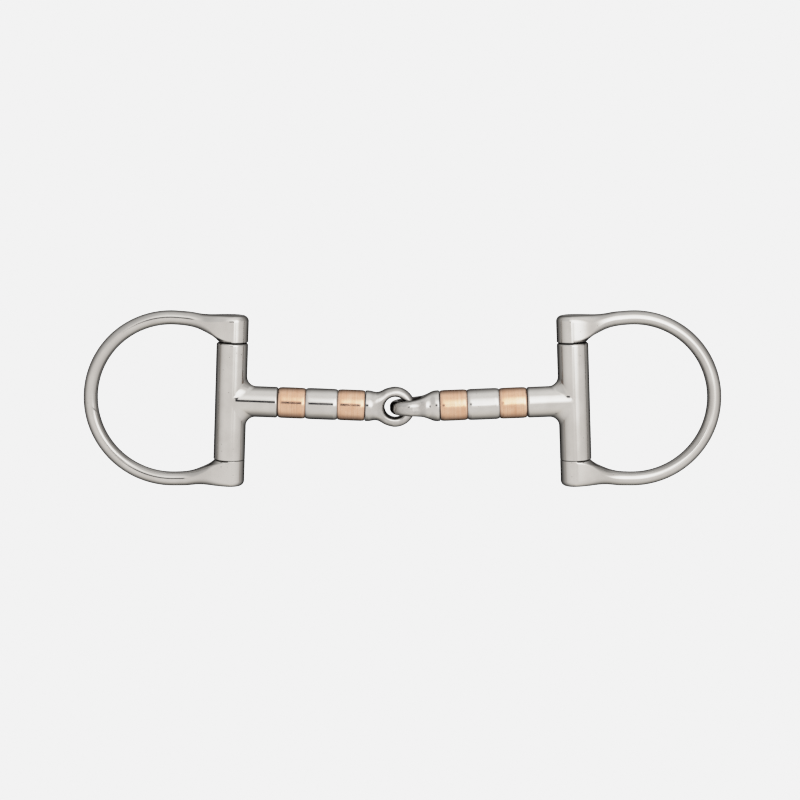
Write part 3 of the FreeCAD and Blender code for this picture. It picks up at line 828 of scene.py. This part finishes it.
def make_world():
    world = bpy.data.worlds.new("studio")
    bpy.context.scene.world = world
    graph = Graph(world)
    turned = graph.value("VectorTransform", {"Vector": graph.value("TexCoord", output="Generated")},
                         vector_type="VECTOR", convert_from="WORLD", convert_to="CAMERA")
    right, up, ahead = graph.split(turned)
    # shader camera space looks along +z, so minus z points back at the camera
    to_camera = ahead * -1.0
    to_degrees = 57.29578
    azimuth = graph.math("ARCTAN2", right, to_camera) * to_degrees
    elevation = graph.math("ARCSINE", up) * to_degrees
    off = graph.math("ARCCOSINE", to_camera) * to_degrees
    tilt = graph.math("ABSOLUTE", elevation)

    base = graph.node("RGB")
    base.outputs[0].default_value = (*TENT, 1.0)
    light = Value(graph, base.outputs[0])
    # cooler and brighter above, warmer and duller below
    light = light.tint(TENT_ABOVE, share=elevation.ramp(over=(20, 75)))
    light = light.tint(TENT_BELOW, share=elevation.ramp(over=(-40, -95)))
    for colour, across, across_soft, upward, upward_soft, strength in PATCHES:
        light = light.tint(colour, share=both(azimuth.band(across, across_soft),
                                              elevation.band(upward, upward_soft), strength))

    # it dims towards the sides and is open behind; the dimming gets warmer
    fall = graph.node("ValToRGB")
    fall.color_ramp.interpolation = "LINEAR"
    stops = fall.color_ramp.elements
    while len(stops) < len(FALL):
        stops.new(0.5)
    for stop, (angle, value) in zip(stops, FALL):
        stop.position = angle / 180.0
        stop.color = (value, value * (0.985 + 0.015 * value), value * (0.96 + 0.04 * value), 1.0)
    # degrees by which the tent reaches further back above, below and high behind,
    # and less far on the left
    lift = elevation.ramp(over=(2.0, 55.0)) * 11.0
    lift = lift + elevation.ramp(over=(-30.0, -75.0)) * 5.0
    behind = both(elevation.ramp(over=(2.0, 15.0)), off.ramp(over=(148.0, 160.0))) * 70.0
    lift = lift + behind
    angle = off - lift + azimuth.ramp(over=(0.0, -40.0)) * 9.0
    share = graph.math("MULTIPLY", angle, 1 / 180.0, clamp=True)
    graph.tree.links.new(share.socket, fall.inputs["Fac"])
    dimming = Value(graph, fall.outputs["Color"])
    light = graph.mix(light, dimming, share=1.0, blend="MULTIPLY")

    # seams of the tent, and the dark bar that carries the camera
    for seam, strength in (((93, 97), 0.7), ((-89, -85), 0.6)):
        mask = both(azimuth.band(over=seam, soft=(1.6, 1.6)), tilt.ramp(over=(45, 25)), strength)
        light = light.tint(SEAM, share=mask)
    light = light.tint(CAMERA_BAR, share=both(azimuth.band(over=(-12, 5.0), soft=(1.2, 1.2)),
                                              elevation.band(over=(-6.6, 6.6), soft=(1.2, 1.2))))
    seen = light.tint(PALE, share=graph.value("LightPath", output="Is Camera Ray"))
    background = graph.value("Background", {"Color": seen})
    graph.node("OutputWorld", {"Surface": background})


def add_panel(name, corners, faces, material):
    mesh = bpy.data.meshes.new(name)
    mesh.from_pydata(corners, [], faces)
    mesh.materials.append(material)
    panel = bpy.data.objects.new(name, mesh)
    bpy.context.scene.collection.objects.link(panel)
    return panel


def soft_box_material():
    """A glow that fades out towards the panel's edges; lengths are in metres."""
    material = bpy.data.materials.new("soft_box")
    graph = Graph(material)
    x, _, z = graph.split(graph.value("TexCoord", output="Object"))
    # its left edge leans outwards above and softens towards both ends
    high, deep = z.ramp(over=(0.10, 0.20)), z.ramp(over=(0.0, -0.03))
    edge = 0.004 + high * -0.045 + deep * 0.030
    softness = 0.026 + graph.math("MAXIMUM", high, deep) * 0.050
    reach = (x - edge) / softness
    top = 0.20 + x.ramp(over=(0.03, 0.10)) * 0.15
    # in front of the right arm its foot stands a little higher
    rise = x.ramp(over=(0.03, 0.08)) * x.ramp(over=(0.10, 0.125), to=(1.0, 0.0)) * 0.05
    mask = reach.ramp(over=(-1.0, 1.0)) * x.ramp(over=(0.15, 0.39), to=(1.0, 0.0))
    mask = mask * (z - rise).ramp(over=(-0.12, 0.03))
    mask = mask * (z - top).ramp(over=(-0.26, 0.26), to=(1.0, 0.0))
    # a dark upright stand
    stand = (x.band(over=(-0.034, -0.004), soft=(0.002, 0.002))
             * z.band(over=(0.010, 0.090), soft=(0.006, 0.006)))
    mask = graph.math("MAXIMUM", mask, stand)
    glow = graph.mix((1.0, 1.0, 1.0), (0.80, 0.80, 0.80), share=deep)
    glow = glow.tint((0.015, 0.015, 0.018), share=stand)
    emission = graph.value("Emission", {"Color": glow, "Strength": 2.05})
    clear = graph.value("BsdfTransparent")
    shader = graph.value("MixShader", {0: mask, 1: clear, 2: emission})
    graph.node("OutputMaterial", {"Surface": shader})
    return material


def add_key_light():
    """A soft box close to the bit, mostly right of the camera, unseen by it."""
    left, right, bottom, top, y = -0.10, 0.46, -0.20, 0.60, -0.346
    corners = [(left, y, bottom), (right, y, bottom), (right, y, top), (left, y, top)]
    key_light = add_panel("key_light", corners, [(0, 1, 2, 3)], soft_box_material())
    key_light.visible_camera = False
    key_light.visible_shadow = False


def add_floor():
    """A plain pale disc, well below the bit."""
    radius, ring = 6, 96
    material = bpy.data.materials.new("pale_floor")
    graph = Graph(material)
    emission = graph.value("Emission", {"Color": (*PALE, 1.0)})
    graph.node("OutputMaterial", {"Surface": emission})
    angles = [2 * math.pi * k / ring for k in range(ring)]
    corners = [(0.0, 0.0, 0.0)]
    corners += [(math.cos(angle) * radius, math.sin(angle) * radius, 0.0) for angle in angles]
    faces = [(0, k + 1, (k + 1) % ring + 1) for k in range(ring)]
    floor = add_panel("floor", corners, faces, material)
    floor.location = (0, 0, -0.45)
    floor.visible_glossy = False
    floor.visible_diffuse = False
    floor.visible_shadow = False


def set_tone():
    view = bpy.context.scene.view_settings
    view.view_transform = "Standard"
    view.look = "None"
    view.exposure = 0.0
    view.gamma = 1.0
    view.use_curve_mapping = True
    tone = view.curve_mapping
    tone.white_level = (WHITE, WHITE, WHITE)
    tone.black_level = (0.0, 0.0, 0.0)
    points = tone.curves[3].points
    while len(points) < len(SHOULDER):
        points.new(0.5, 0.5)
    for point, place in zip(points, SHOULDER):
        point.location = place
        point.handle_type = "AUTO_CLAMPED"
    tone.update()


make_world()
add_key_light()
add_floor()
set_tone()
